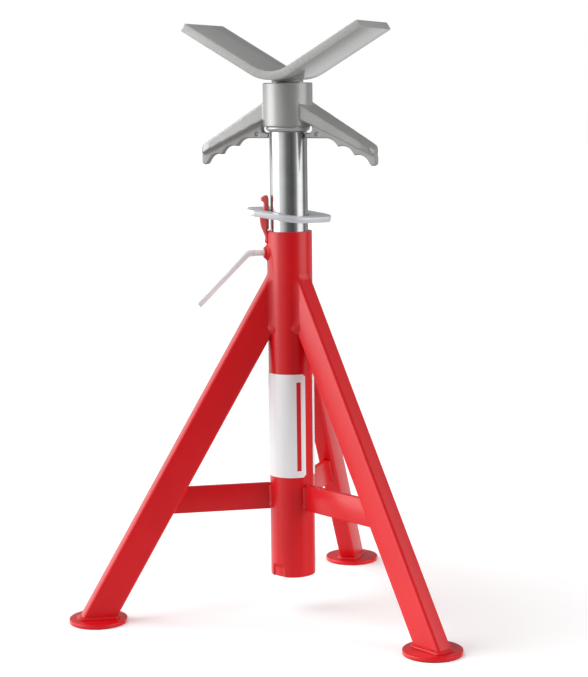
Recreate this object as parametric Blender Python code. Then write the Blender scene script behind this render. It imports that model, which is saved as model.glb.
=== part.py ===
"""Pipe jack stand: a welded tripod with a sliding column, a screw jack and a bent V saddle.

Every size is in metres. The floor is z = 0. The column stands COLUMN_Y in front of the origin, so
that the origin is the centre of the box round the three feet. Inside the script most shapes are
drawn as (distance from the column, height) and then turned about the column.
"""

import math

import bmesh
import bpy
from mathutils import Matrix, Vector

# Driving dimensions
GAP = 0.0003
FOOT_CIRCLE = 0.225
COLUMN_Y = -FOOT_CIRCLE / 4
LEG_ANGLES = {"left": 210.0, "right": 330.0, "rear": 90.0}
CLAMP_ANGLE = LEG_ANGLES["left"]

TUBE_RADIUS = 0.0254
TUBE_BORE = 0.0217
TUBE_BOTTOM = 0.0429
TUBE_TOP = 0.4366
TUBE_SIDES = 64

FOOT_RADIUS = 0.0326
FOOT_THICK = 0.005

LEG_LEAN = math.radians(30.0)
LEG_OUTER_AT_FLOOR = 0.2484
LEG_DEPTH = 0.035
LEG_WIDTH = 0.020
LEG_WALL = 0.002
LEG_CORNER = 0.0035

BRACE_LOW = 0.120
BRACE_HIGH = 0.150
BRACE_THICK = 0.006

COLUMN_RADIUS = 0.0211
COLUMN_BORE = 0.0185
COLUMN_BOTTOM = 0.125
COLUMN_TOP = 0.547

CRIMP_ANGLE = 246.0
CRIMP_INNER = 0.0196
CRIMP_POCKET = 0.0232
CRIMP_TOP = 0.057

CLAMP_HEIGHT = 0.4126
CLAMP_HOLE = 0.0042
ROD_RADIUS = 0.0038
PAD_END = 0.0240
ROD_CORNER = 0.0474
ROD_TIP = (0.104, 0.356)
ROD_BEND = 0.010

PLATE_TILT = math.radians(9.1)
PLATE_RISES_TO = math.radians(162.4)
PLATE_CENTRE = 0.4545
PLATE_THICK = 0.0063
PLATE_HOLE = 0.0222
PLATE_DISC = 0.033
PLATE_END = 0.016
PLATE_REACH = 0.048
PLATE_PIVOT = 0.031
NOTCH_REACH = 0.0302
NOTCH_HALF = 0.0035
BRACKET_THICK = 0.005

BUSH_FLANGE = 0.0245
BUSH_TOP = 0.5522
BUSH_SPIGOT = 0.0181
BUSH_LOW = 0.527
BUSH_BORE = 0.0134

HUB_RADIUS = 0.0276
HUB_LOW = BUSH_TOP + GAP
HUB_HIGH = 0.6007
NUT_BORE = 0.0130
NUT_TURN = -6.7
ARM_TOP = ((0.010, 0.5846), (0.1025, 0.5308))
ARM_LOW = ((0.010, 0.5663), (0.1025, 0.5227))
ARM_HALF_WIDTHS = ((0.010, 0.0170), (0.050, 0.0152), (0.094, 0.0126), (0.1025, 0.0108), (0.1062, 0.0065))
WEB_HALF = 0.004
FOOT_OF_WEB = 0.0227

SCREW_RADIUS = 0.0126
SCREW_LOW = 0.4132
BOSS_RADIUS = 0.0177
STOP_RADIUS = 0.0165
STOP_PIN = 0.006
STOP_LOW = 0.4147
STOP_HIGH = 0.4227

SEAT_ANGLE = math.radians(31.0)
SEAT_APEX = 0.6071
SEAT_HALF_SPAN = 0.0981
SEAT_THICK = 0.0095
SEAT_WIDTH = 0.1143
SEAT_BEND = 0.0365

LABEL_SKIN = 0.00025
LABEL_LOW = 0.159
LABEL_HIGH = 0.277
FRONT_LABEL_ARC = (194.3, 326.3)
SIDE_LABEL_ARC = (-4.7, 112.0)


# Outlines
def filleted(corners, steps=6):
    """A polygon of (x, y, radius) corners as plain points, each rounded corner as an arc."""
    points = []
    for index, (x, y, radius) in enumerate(corners):
        corner = Vector((x, y))
        if radius == 0:
            points.append((x, y))
            continue
        before = (Vector(corners[index - 1][:2]) - corner).normalized()
        after = (Vector(corners[(index + 1) % len(corners)][:2]) - corner).normalized()
        half = before.angle(after) / 2
        centre = corner + (before + after).normalized() * radius / math.sin(half)
        start = corner + before * radius / math.tan(half) - centre
        turn = -start.angle_signed(corner + after * radius / math.tan(half) - centre)
        for step in range(steps + 1):
            spoke = Matrix.Rotation(turn * step / steps, 2) @ start
            points.append(tuple(centre + spoke))
    return points


def arc(centre, radius, start, end, steps):
    """Points on a circle from one angle to another, in degrees."""
    angles = [math.radians(start + (end - start) * step / steps) for step in range(steps + 1)]
    return [(centre[0] + radius * math.cos(a), centre[1] + radius * math.sin(a)) for a in angles]


def rounded_rectangle(width, height, radius, steps=4):
    half_w, half_h = width / 2, height / 2
    corners = ((-half_w, -half_h), (half_w, -half_h), (half_w, half_h), (-half_w, half_h))
    return filleted([(x, y, radius) for x, y in corners], steps)


def on_line(ends, distance):
    """Height of the straight line through two (distance, height) points."""
    (x0, z0), (x1, z1) = ends
    return z0 + (z1 - z0) * (distance - x0) / (x1 - x0)


# Solids
def finish(bm, name, paint, sharp=35.0):
    """Turn a bmesh into a smooth-shaded object that carries one material."""
    bmesh.ops.recalc_face_normals(bm, faces=bm.faces)
    mesh = bpy.data.meshes.new(name)
    bm.to_mesh(mesh)
    bm.free()
    mesh.shade_smooth()
    mesh.set_sharp_from_angle(angle=math.radians(sharp))
    if paint:
        mesh.materials.append(paint)
    obj = bpy.data.objects.new(name, mesh)
    bpy.context.scene.collection.objects.link(obj)
    return obj


def prism(name, outline, thick, paint=None):
    """A flat plate: an outline of (distance, height) points, thick across the other way."""
    bm = bmesh.new()
    ring = [bm.verts.new((x, -thick / 2, z)) for x, z in outline]
    face = bm.faces.new(ring)
    grown = bmesh.ops.extrude_face_region(bm, geom=[face])
    moved = [item for item in grown["geom"] if isinstance(item, bmesh.types.BMVert)]
    bmesh.ops.translate(bm, verts=moved, vec=(0, thick, 0))
    return finish(bm, name, paint)


def lathe(bm, profile, sides):
    """Spin a closed profile of (radius, height) points round Z. Points on the axis make poles."""
    rings = []
    for radius, height in profile:
        if radius == 0:
            rings.append([bm.verts.new((0, 0, height))])
            continue
        turns = [2 * math.pi * side / sides for side in range(sides)]
        rings.append([bm.verts.new((radius * math.cos(t), radius * math.sin(t), height)) for t in turns])
    for lower, upper in zip(rings, rings[1:] + rings[:1]):
        if len(lower) == 1 and len(upper) == 1:
            continue
        for side in range(sides):
            following = (side + 1) % sides
            corners = [lower[side % len(lower)], lower[following % len(lower)],
                       upper[following % len(upper)], upper[side % len(upper)]]
            bm.faces.new(list(dict.fromkeys(corners)))


def turned(name, profile, sides=TUBE_SIDES, paint=None):
    bm = bmesh.new()
    lathe(bm, profile, sides)
    return finish(bm, name, paint)


def tube_profile(outer, inner, low, high, chamfer=0.0005):
    return [(inner, low), (outer - chamfer, low), (outer, low + chamfer),
            (outer, high - chamfer), (outer - chamfer, high), (inner, high)]


def box(name, low, high):
    bm = bmesh.new()
    centre = (Vector(low) + Vector(high)) / 2
    size = Vector(high) - Vector(low)
    bmesh.ops.create_cube(bm, size=1, matrix=Matrix.Translation(centre) @ Matrix.Diagonal((*size, 1)))
    return finish(bm, name, None)


def stand_on(obj, parent, degrees=0.0, location=(0, 0, 0)):
    """Place an object on the column axis and turn it, with its place, about that axis."""
    obj.parent = parent
    obj.rotation_euler = (0, 0, math.radians(degrees))
    obj.location = Matrix.Rotation(math.radians(degrees), 3, "Z") @ Vector(location)


def combine(target, other, operation):
    """Join or cut with a helper object, which is left out of the model."""
    step = target.modifiers.new(other.name, "BOOLEAN")
    step.operation = operation
    step.object = other
    other.hide_render = True
    other.display_type = "WIRE"


def soften(obj, width, segments=2):
    edge = obj.modifiers.new("soft edges", "BEVEL")
    edge.width = width
    edge.segments = segments
    edge.limit_method = "ANGLE"
    edge.angle_limit = math.radians(50)


def material(name, colour, roughness, metallic):
    made = bpy.data.materials.new(name)
    made.use_nodes = True
    shader = made.node_tree.nodes["Principled BSDF"]
    shader.inputs["Base Color"].default_value = (*colour, 1)
    shader.inputs["Roughness"].default_value = roughness
    shader.inputs["Metallic"].default_value = metallic
    made.diffuse_color = (*colour, 1)
    return made


# The welded base
def outer_tube(axis, paint):
    """The upright tube, crimped inwards at its foot so that the column can't fall through."""
    tube = turned("outer_tube", tube_profile(TUBE_RADIUS, TUBE_BORE, TUBE_BOTTOM, TUBE_TOP), paint=paint)
    stand_on(tube, axis)
    stop = box("crimp_inside", (CRIMP_INNER, -0.0055, TUBE_BOTTOM + 0.0006), (0.0235, 0.0055, CRIMP_TOP - 0.004))
    pocket = prism("crimp_outside", [(CRIMP_POCKET, 0.040), (0.028, 0.040), (0.028, CRIMP_TOP + 0.004),
                                     (CRIMP_POCKET, CRIMP_TOP - 0.003)], 0.017)
    hole = turned("clamp_hole", [(0, -0.01), (CLAMP_HOLE, -0.01), (CLAMP_HOLE, 0.01), (0, 0.01)], sides=24)
    hole.data.transform(Matrix.Rotation(math.radians(90), 4, "Y"))
    stand_on(stop, axis, CRIMP_ANGLE)
    stand_on(pocket, axis, CRIMP_ANGLE)
    stand_on(hole, axis, CLAMP_ANGLE, (TUBE_RADIUS, 0, CLAMP_HEIGHT))
    combine(tube, stop, "UNION")
    combine(tube, pocket, "DIFFERENCE")
    combine(tube, hole, "DIFFERENCE")


def leg_mesh(paint):
    """A rounded rectangular tube along the leg's lean, longer than the leg at both ends."""
    down = Vector((math.sin(LEG_LEAN), 0, -math.cos(LEG_LEAN)))
    inward = Vector((-math.cos(LEG_LEAN), 0, -math.sin(LEG_LEAN)))
    start = Vector((LEG_OUTER_AT_FLOOR, 0, 0)) + inward * LEG_DEPTH / 2
    bm = bmesh.new()
    loops = []
    for shrink in (0, LEG_WALL):
        outline = rounded_rectangle(LEG_DEPTH - 2 * shrink, LEG_WIDTH - 2 * shrink, LEG_CORNER - shrink * 0.75)
        for travel in (0.02, -0.50):
            centre = start + down * travel
            loops.append([bm.verts.new(centre + inward * u + Vector((0, v, 0))) for u, v in outline])
    outer_low, outer_high, inner_low, inner_high = loops
    for first, second in ((outer_low, outer_high), (outer_high, inner_high),
                          (inner_high, inner_low), (inner_low, outer_low)):
        count = len(first)
        for index in range(count):
            following = (index + 1) % count
            bm.faces.new((first[index], first[following], second[following], second[index]))
    return finish(bm, "leg_left", paint)


def legs(axis, paint):
    """Three legs, each coped to the tube at its top and cut level on its foot."""
    cope = turned("tube_cope", [(0, 0.02), (TUBE_RADIUS + GAP, 0.02), (TUBE_RADIUS + GAP, 0.5), (0, 0.5)])
    stand_on(cope, axis)
    above = box("above_cope", (-0.30, -0.05, 0.02), (0, 0.05, 0.6))
    below = box("below_foot", (0.15, -0.05, -0.10), (0.35, 0.05, FOOT_THICK + GAP))
    first = leg_mesh(paint)
    for place, angle in LEG_ANGLES.items():
        leg = first if place == "left" else bpy.data.objects.new("leg_" + place, first.data)
        if place != "left":
            bpy.context.scene.collection.objects.link(leg)
        stand_on(leg, axis, angle)
        for helper in (above, below):
            cutter = bpy.data.objects.new(helper.name + "_" + place, helper.data)
            bpy.context.scene.collection.objects.link(cutter)
            stand_on(cutter, axis, angle)
            combine(leg, cutter, "DIFFERENCE")
        combine(leg, cope, "DIFFERENCE")
    for helper in (above, below):
        bpy.data.objects.remove(helper)
    return cope


def braces(axis, paint):
    """A flat bar on edge from the tube to the inner face of each leg."""
    def leg_inner(height):
        return LEG_OUTER_AT_FLOOR - LEG_DEPTH / math.cos(LEG_LEAN) - height * math.tan(LEG_LEAN) - 2 * GAP
    start = TUBE_RADIUS + 1.5 * GAP
    outline = [(start, BRACE_LOW), (leg_inner(BRACE_LOW), BRACE_LOW),
               (leg_inner(BRACE_HIGH), BRACE_HIGH), (start, BRACE_HIGH)]
    for place, angle in LEG_ANGLES.items():
        brace = prism("brace_" + place, outline, BRACE_THICK, paint)
        soften(brace, 0.0006)
        stand_on(brace, axis, angle)


def feet(axis, paint):
    edge = 0.0008
    profile = [(0, 0), (FOOT_RADIUS - edge, 0), (FOOT_RADIUS, edge),
               (FOOT_RADIUS, FOOT_THICK - edge), (FOOT_RADIUS - edge, FOOT_THICK), (0, FOOT_THICK)]
    for place, angle in LEG_ANGLES.items():
        foot = turned("foot_" + place, profile, sides=48, paint=paint)
        stand_on(foot, axis, angle, (FOOT_CIRCLE, 0, 0))


def lock_bracket(axis, paint):
    """The hooked plate on the tube that carries the tilting lock plate."""
    outline = filleted([
        (0.02575, 0.4215, 0), (0.0262, 0.4275, 0.004), (0.0322, 0.4420, 0.010), (0.0332, 0.4480, 0),
        (0.0332, 0.4537, 0.001), (0.0287, 0.4537, 0.0006), (0.0287, 0.4690, 0.0012),
        (0.0316, 0.4706, 0.0008), (0.0319, 0.4742, 0.0012), (0.0275, 0.4770, 0.002),
        (0.0241, 0.4766, 0.002), (0.0233, 0.4720, 0), (0.0233, 0.4396, 0.001), (0.02575, 0.4372, 0)], 3)
    stand_on(prism("lock_bracket", outline, BRACKET_THICK, paint), axis, CLAMP_ANGLE)


def clamp_boss(axis, paint, cope):
    """The threaded nut welded over the hole for the clamp screw."""
    profile = [(CLAMP_HOLE, 0.021), (0.0076, 0.021), (0.0072, 0.0262), (0.0058, 0.0292), (CLAMP_HOLE, 0.0296)]
    boss = turned("clamp_boss", profile, sides=32, paint=paint)
    boss.data.transform(Matrix.Rotation(math.radians(90), 4, "Y"))
    stand_on(boss, axis, CLAMP_ANGLE, (0, 0, CLAMP_HEIGHT))
    combine(boss, cope, "DIFFERENCE")


def label(axis, name, paint, angles, steps=24):
    """A thin curved sheet on the tube, between two angles about the column."""
    bm = bmesh.new()
    inner = TUBE_RADIUS + GAP
    rings = []
    for radius, height in ((inner, LABEL_LOW), (inner + LABEL_SKIN, LABEL_LOW),
                           (inner + LABEL_SKIN, LABEL_HIGH), (inner, LABEL_HIGH)):
        points = arc((0, 0), radius, *angles, steps)
        rings.append([bm.verts.new((x, y, height)) for x, y in points])
    for first, second in zip(rings, rings[1:] + rings[:1]):
        for step in range(steps):
            bm.faces.new((first[step], first[step + 1], second[step + 1], second[step]))
    for step in (0, steps):
        bm.faces.new([ring[step] for ring in rings])
    stand_on(finish(bm, name, paint), axis)


# The locks
def lock_plate(axis, paint):
    """The plate round the column. It jams on the column while its free side hangs down.

    Its mesh lies level, with its origin on its underside where the bracket's shelf bears it. The
    tilt then raises its edge on the PLATE_RISES_TO side.
    """
    half = PLATE_THICK / 2
    uphill = Vector((math.cos(PLATE_RISES_TO), math.sin(PLATE_RISES_TO), 0))
    tilt = Matrix.Rotation(PLATE_TILT, 3, uphill.cross((0, 0, 1)))
    turn = Matrix.Rotation(math.radians(CLAMP_ANGLE), 3, "Z")
    pivot = turn @ Vector((PLATE_PIVOT, 0, 0))
    pivot.z = PLATE_CENTRE + pivot.dot(uphill) * math.tan(PLATE_TILT) - half / math.cos(PLATE_TILT)
    to_hole = (tilt @ turn).inverted() @ (Vector((0, 0, PLATE_CENTRE)) - pivot)
    hole = to_hole.x
    end = PLATE_REACH - PLATE_END
    tangent = math.degrees(math.acos((PLATE_DISC - PLATE_END) / end))
    outline = (arc((hole + end, 0), PLATE_END, -tangent, tangent, 12)
               + arc((hole, 0), PLATE_DISC, tangent, 180 - tangent, 10)
               + arc((hole - end, 0), PLATE_END, 180 - tangent, 180 + tangent, 12)
               + arc((hole, 0), PLATE_DISC, 180 + tangent, 360 - tangent, 10))
    spread = math.degrees(math.asin(NOTCH_HALF / PLATE_HOLE))
    opening = arc((hole, 0), PLATE_HOLE, spread, 360 - spread, 60)
    opening += [(hole + NOTCH_REACH, -NOTCH_HALF), (hole + NOTCH_REACH, NOTCH_HALF)]
    lay_flat = Matrix.Translation((0, 0, half)) @ Matrix.Rotation(math.radians(90), 4, "X")
    plate = prism("lock_plate", outline, PLATE_THICK, paint)
    cutter = prism("plate_opening", opening, PLATE_THICK * 3)
    for obj in (plate, cutter):
        obj.data.transform(Matrix.Translation((0, to_hole.y, 0)) @ lay_flat)
        obj.parent = axis
        obj.matrix_local = Matrix.Translation(pivot) @ (tilt @ turn).to_4x4()
    combine(plate, cutter, "DIFFERENCE")
    soften(plate, 0.0006)


def clamp_pad(axis, paint):
    """The soft pad between the clamp screw and the column: it slides but doesn't turn."""
    start = COLUMN_RADIUS + GAP
    pad = turned("clamp_pad", [(0, start), (ROD_RADIUS - 0.0004, start), (ROD_RADIUS, start + 0.0004),
                               (ROD_RADIUS, PAD_END), (0, PAD_END)], sides=24, paint=paint)
    pad.data.transform(Matrix.Rotation(math.radians(90), 4, "Y"))
    stand_on(pad, axis, CLAMP_ANGLE, (0, 0, CLAMP_HEIGHT))


def clamp_screw(axis, paint):
    """One bent rod: its threaded end pushes the pad on to the column, its long end is the handle."""
    route = filleted([(PAD_END + GAP, 0, 0), (ROD_CORNER, 0, ROD_BEND),
                      (ROD_TIP[0], ROD_TIP[1] - CLAMP_HEIGHT, 0)], 8)
    curve = bpy.data.curves.new("clamp_screw", "CURVE")
    curve.dimensions = "3D"
    curve.bevel_depth = ROD_RADIUS
    curve.bevel_resolution = 5
    curve.use_fill_caps = True
    spline = curve.splines.new("POLY")
    spline.points.add(len(route) - 1)
    for point, (distance, height) in zip(spline.points, route):
        point.co = (distance, 0, height, 1)
    curve.materials.append(paint)
    rod = bpy.data.objects.new("clamp_screw", curve)
    bpy.context.scene.collection.objects.link(rod)
    stand_on(rod, axis, CLAMP_ANGLE, (0, 0, CLAMP_HEIGHT))


# The column and the jack head
def inner_tube(axis, paint):
    tube = turned("inner_tube", tube_profile(COLUMN_RADIUS, COLUMN_BORE, COLUMN_BOTTOM, COLUMN_TOP), paint=paint)
    stand_on(tube, axis)


def thrust_bush(axis, paint):
    """A flanged bush in the top of the column: the nut turns on its flange."""
    flange_low = COLUMN_TOP + GAP
    profile = [(BUSH_BORE, BUSH_LOW), (BUSH_SPIGOT, BUSH_LOW), (BUSH_SPIGOT, flange_low),
               (BUSH_FLANGE - 0.0016, flange_low), (BUSH_FLANGE, flange_low + 0.0016),
               (BUSH_FLANGE, BUSH_TOP - 0.0004), (BUSH_FLANGE - 0.0004, BUSH_TOP), (BUSH_BORE, BUSH_TOP)]
    stand_on(turned("thrust_bush", profile, paint=paint), axis)


def arm_flange(name):
    """The broad upper rail of one arm: it narrows and thins out to a round tip."""
    bm = bmesh.new()
    sections = []
    for distance, half_width in ARM_HALF_WIDTHS:
        sag = 0.0012 if distance > 0.105 else 0
        top, low = on_line(ARM_TOP, distance) - sag, on_line(ARM_LOW, distance) + sag
        corners = ((half_width, low), (half_width, top), (-half_width, top), (-half_width, low))
        sections.append([bm.verts.new((distance, y, z)) for y, z in corners])
    for first, second in zip(sections, sections[1:]):
        for index in range(4):
            following = (index + 1) % 4
            bm.faces.new((first[index], first[following], second[following], second[index]))
    bm.faces.new(sections[0])
    bm.faces.new(sections[-1])
    return finish(bm, name, None)


def finger_grips(steps=8):
    """The scalloped lower edge of an arm, from the foot by the column out to the end stop."""
    cusps = ((0.0485, 0.5395), (0.0620, 0.5303), (0.0814, 0.5208), (0.0992, 0.5128))
    rise = (0.0022, 0.0046, 0.0040)
    edge = []
    for (x0, z0), (x1, z1), height in zip(cusps, cusps[1:], rise):
        run = Vector((x1 - x0, z1 - z0))
        up = Vector((-run.y, run.x)).normalized()
        for step in range(steps):
            share = step / steps
            spot = Vector((x0, z0)) + run * share + up * height * 4 * share * (1 - share)
            edge.append(tuple(spot))
    return edge + [cusps[-1]]


def arm_web(name):
    """The thin rib under one arm, with the finger grips, the end stop and the foot by the column."""
    stop_arc = arc((0.1036, 0.5139), 0.0044, 195, 350, 8)
    inner_side = [(0.020, 0.572), (0.020, 0.5565), (0.0300, 0.5545), (0.0312, 0.5495), (0.0296, 0.5460),
                  (FOOT_OF_WEB, 0.5455), (FOOT_OF_WEB, 0.5395)]
    outer_side = [(0.1077, 0.5205), (0.1040, 0.5268), (0.0950, 0.5310)]
    return prism(name, inner_side + finger_grips() + stop_arc + outer_side, 2 * WEB_HALF)


def handle_nut(axis, paint):
    """The cast nut: a round hub with two arms that slope down to finger grips."""
    edge = 0.0009
    hub = turned("handle_nut", [(0, HUB_LOW), (HUB_RADIUS - edge, HUB_LOW), (HUB_RADIUS, HUB_LOW + edge),
                                (HUB_RADIUS, HUB_HIGH - edge), (HUB_RADIUS - edge, HUB_HIGH), (0, HUB_HIGH)],
                 paint=paint)
    bore = turned("nut_bore", [(0, 0.54), (NUT_BORE, 0.54), (NUT_BORE, 0.61), (0, 0.61)], sides=48)
    stand_on(hub, axis, NUT_TURN)
    stand_on(bore, axis)
    for side, turn in (("right", 0), ("left", 180)):
        for helper in (arm_flange("flange_" + side), arm_web("web_" + side)):
            stand_on(helper, axis, NUT_TURN + turn)
            combine(hub, helper, "UNION")
    combine(hub, bore, "DIFFERENCE")


def seat_profile():
    """The bent plate as an outline of (x, height): inner face, right tip, outer face, left tip."""
    rise = SEAT_HALF_SPAN * math.tan(SEAT_ANGLE)
    lean = SEAT_THICK * math.sin(SEAT_ANGLE)
    drop = SEAT_THICK * math.cos(SEAT_ANGLE)
    tip = SEAT_APEX + rise
    under = SEAT_APEX - SEAT_THICK / math.cos(SEAT_ANGLE)
    return filleted([
        (-SEAT_HALF_SPAN, tip, 0), (0, SEAT_APEX, SEAT_BEND), (SEAT_HALF_SPAN, tip, 0),
        (SEAT_HALF_SPAN + lean, tip - drop, 0), (0, under, SEAT_BEND + SEAT_THICK),
        (-SEAT_HALF_SPAN - lean, tip - drop, 0)], 10)


def v_saddle(axis, paint):
    """The thick plate bent to a V: the pipe lies in it, along Y."""
    saddle = prism("v_saddle", seat_profile(), SEAT_WIDTH, paint)
    soften(saddle, 0.0009)
    stand_on(saddle, axis)


def jack_screw(axis, paint):
    """The lifting screw, with the round boss that is welded under the saddle."""
    boss_low = HUB_HIGH + GAP
    profile = [(0, SCREW_LOW), (STOP_PIN, SCREW_LOW), (STOP_PIN, STOP_HIGH + GAP),
               (SCREW_RADIUS - 0.001, STOP_HIGH + GAP), (SCREW_RADIUS, STOP_HIGH + GAP + 0.001),
               (SCREW_RADIUS, boss_low), (BOSS_RADIUS, boss_low), (BOSS_RADIUS, 0.616), (0, 0.616)]
    screw = turned("jack_screw", profile, sides=48, paint=paint)
    stand_on(screw, axis)
    reach = 0.06
    under = SEAT_APEX - (SEAT_THICK + GAP) / math.cos(SEAT_ANGLE)
    edge = under + reach * math.tan(SEAT_ANGLE)
    seat = prism("seat_cope", filleted([
        (-reach, edge, 0), (0, under, SEAT_BEND + SEAT_THICK + GAP), (reach, edge, 0),
        (reach, 0.7, 0), (-reach, 0.7, 0)], 10), 0.06)
    stand_on(seat, axis)
    combine(screw, seat, "DIFFERENCE")


def screw_stop(axis, paint):
    """The collar on the lower end of the screw that keeps it from winding out of the nut."""
    profile = tube_profile(STOP_RADIUS, STOP_PIN + GAP, STOP_LOW, STOP_HIGH)
    stand_on(turned("screw_stop", profile, sides=48, paint=paint), axis)


def build():
    for obj in list(bpy.data.objects):
        bpy.data.objects.remove(obj)
    red = material("red paint", (0.62, 0.018, 0.024), 0.32, 0.0)
    grey = material("grey paint", (0.34, 0.34, 0.33), 0.45, 0.0)
    zinc = material("bright zinc", (0.72, 0.73, 0.74), 0.22, 1.0)
    steel = material("plain steel", (0.42, 0.42, 0.41), 0.40, 1.0)
    brass = material("brass", (0.62, 0.44, 0.16), 0.35, 1.0)
    paper = material("label", (0.90, 0.90, 0.89), 0.40, 0.0)

    axis = bpy.data.objects.new("column_axis", None)
    bpy.context.scene.collection.objects.link(axis)
    axis.location = (0, COLUMN_Y, 0)

    outer_tube(axis, red)
    cope = legs(axis, red)
    braces(axis, red)
    feet(axis, red)
    lock_bracket(axis, red)
    clamp_boss(axis, red, cope)
    label(axis, "label_front", paper, FRONT_LABEL_ARC)
    label(axis, "label_side", paper, SIDE_LABEL_ARC)

    lock_plate(axis, zinc)
    clamp_pad(axis, brass)
    clamp_screw(axis, zinc)

    inner_tube(axis, zinc)
    thrust_bush(axis, zinc)
    handle_nut(axis, grey)
    v_saddle(axis, grey)
    jack_screw(axis, steel)
    screw_stop(axis, steel)


build()
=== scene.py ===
"""Pipe jack stand, dressed: painted steel tripod, plated column and locks, cast hand nut, V saddle."""
import math

import bmesh
import bpy
from mathutils import Matrix, Vector


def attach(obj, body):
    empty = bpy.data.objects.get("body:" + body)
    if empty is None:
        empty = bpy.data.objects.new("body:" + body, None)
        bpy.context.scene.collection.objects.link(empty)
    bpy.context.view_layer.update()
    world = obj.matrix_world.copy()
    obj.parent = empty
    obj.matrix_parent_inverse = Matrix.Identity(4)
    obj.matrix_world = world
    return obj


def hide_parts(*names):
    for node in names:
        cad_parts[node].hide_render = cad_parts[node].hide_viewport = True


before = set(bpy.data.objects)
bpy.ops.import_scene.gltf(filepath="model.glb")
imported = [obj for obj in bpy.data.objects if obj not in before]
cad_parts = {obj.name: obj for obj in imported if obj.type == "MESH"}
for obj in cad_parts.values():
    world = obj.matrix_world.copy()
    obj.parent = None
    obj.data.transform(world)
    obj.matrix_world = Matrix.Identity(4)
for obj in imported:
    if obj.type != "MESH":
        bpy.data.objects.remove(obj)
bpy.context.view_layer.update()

# The studio
# A seamless pale floor, two far soft lights and a lit table that fills from below. Two bright panels
# and the dim walls of the room show in the gloss. A long lens looks down a little from saddle height.
COLUMN = Vector((0, -0.05625, 0))
CAMERA_TURN = math.radians(19.34)
TO_CAMERA = CAMERA_TURN - math.pi / 2
CAMERA_AWAY = 1.9973
CAMERA_HEIGHT = 0.60186
CAMERA_PITCH = math.radians(8.19)
CAMERA_YAW = math.radians(0.11)
CAMERA_ROLL = math.radians(-0.69)
LENS, SENSOR = 94.97, 36
FLOOR_HALF = 14.0
FLOOR_DROP = 0.0002
FLOOR_GLOW = 0.24
TABLE_SIDE = 1.1
TABLE_AHEAD = 0.2
TABLE_POWER = 3.2


class Dye:
    """A socket in a finish's node tree that takes part in ordinary Python sums."""

    def __init__(self, tree, socket=None):
        self.tree = tree
        self.socket = socket

    def feed(self, target, value):
        """Link a Dye to a socket, or set the socket's own value."""
        if isinstance(value, Dye):
            self.tree.links.new(value.socket, target)
        elif isinstance(value, tuple) and target.type == "RGBA":
            target.default_value = (*value, 1)
        else:
            target.default_value = value

    def node(self, kind, settings=None, sockets=None, out=0):
        """Any node: its settings, a ramp's stops among them, and then its sockets."""
        made = self.tree.nodes.new("ShaderNode" + kind)
        for name, value in (settings or {}).items():
            if name == "stops":
                while len(made.color_ramp.elements) < len(value):
                    made.color_ramp.elements.new(1.0)
                for stop, (position, level) in zip(made.color_ramp.elements, value):
                    stop.position = position
                    stop.color = (level, level, level, 1)
            else:
                setattr(made, name, value)
        for name, value in (sockets or {}).items():
            named = [socket for socket in made.inputs if name in (socket.identifier, socket.name)]
            self.feed(made.inputs[name] if isinstance(name, int) else named[0], value)
        return Dye(self.tree, made.outputs[out])

    def sum(self, operation, *values, clamp=False):
        sockets = dict(enumerate(values))
        return self.node("Math", {"operation": operation, "use_clamp": clamp}, sockets)

    def __add__(self, other):
        return self.sum("ADD", self, other)

    def __sub__(self, other):
        return self.sum("SUBTRACT", self, other)

    def __rsub__(self, other):
        return self.sum("SUBTRACT", other, self)

    def __mul__(self, other):
        return self.sum("MULTIPLY", self, other)

    __radd__ = __add__
    __rmul__ = __mul__

    def above(self, level, soft):
        """1 where this is over the level, 0 where it is under, over a soft step."""
        return self.sum("DIVIDE", self - (level - soft / 2), soft, clamp=True)

    def parts(self):
        """A vector's x, y and z."""
        split = self.node("SeparateXYZ", None, {"Vector": self}).socket.node
        return [Dye(self.tree, output) for output in split.outputs]

    def between(self, low, high, soft):
        """1 from the low level to the high one, 0 outside them, over soft steps."""
        return self.above(low, soft) * (1 - self.above(high, soft))

    def tint(self, first, second):
        """The first colour where this is 0, the second where it is 1."""
        return self.node("Mix", {"data_type": "RGBA"},
                         {"Factor_Float": self, "A_Color": first, "B_Color": second}, out="Result")


def placed(name, data):
    """A new object in the scene."""
    obj = bpy.data.objects.new(name, data)
    bpy.context.scene.collection.objects.link(obj)
    return obj


def polar(radius, angle, height):
    return radius * math.cos(angle), radius * math.sin(angle), height


def aimed_camera():
    forward = Vector((math.sin(CAMERA_YAW) * math.cos(CAMERA_PITCH),
                      math.cos(CAMERA_YAW) * math.cos(CAMERA_PITCH), -math.sin(CAMERA_PITCH)))
    level = Vector((math.cos(CAMERA_YAW), -math.sin(CAMERA_YAW), 0))
    upward = level.cross(forward)
    right = level * math.cos(CAMERA_ROLL) + upward * math.sin(CAMERA_ROLL)
    up = upward * math.cos(CAMERA_ROLL) - level * math.sin(CAMERA_ROLL)
    turn = Matrix.Rotation(CAMERA_TURN, 3, "Z")
    facing = (turn @ Matrix((right, up, -forward)).transposed()).to_4x4()
    where = COLUMN + turn @ Vector((0, -CAMERA_AWAY, CAMERA_HEIGHT))
    camera = placed("camera", bpy.data.cameras.new("camera"))
    camera.matrix_world = Matrix.Translation(where) @ facing
    camera.data.lens = LENS
    camera.data.sensor_width = SENSOR
    bpy.context.scene.camera = camera


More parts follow.
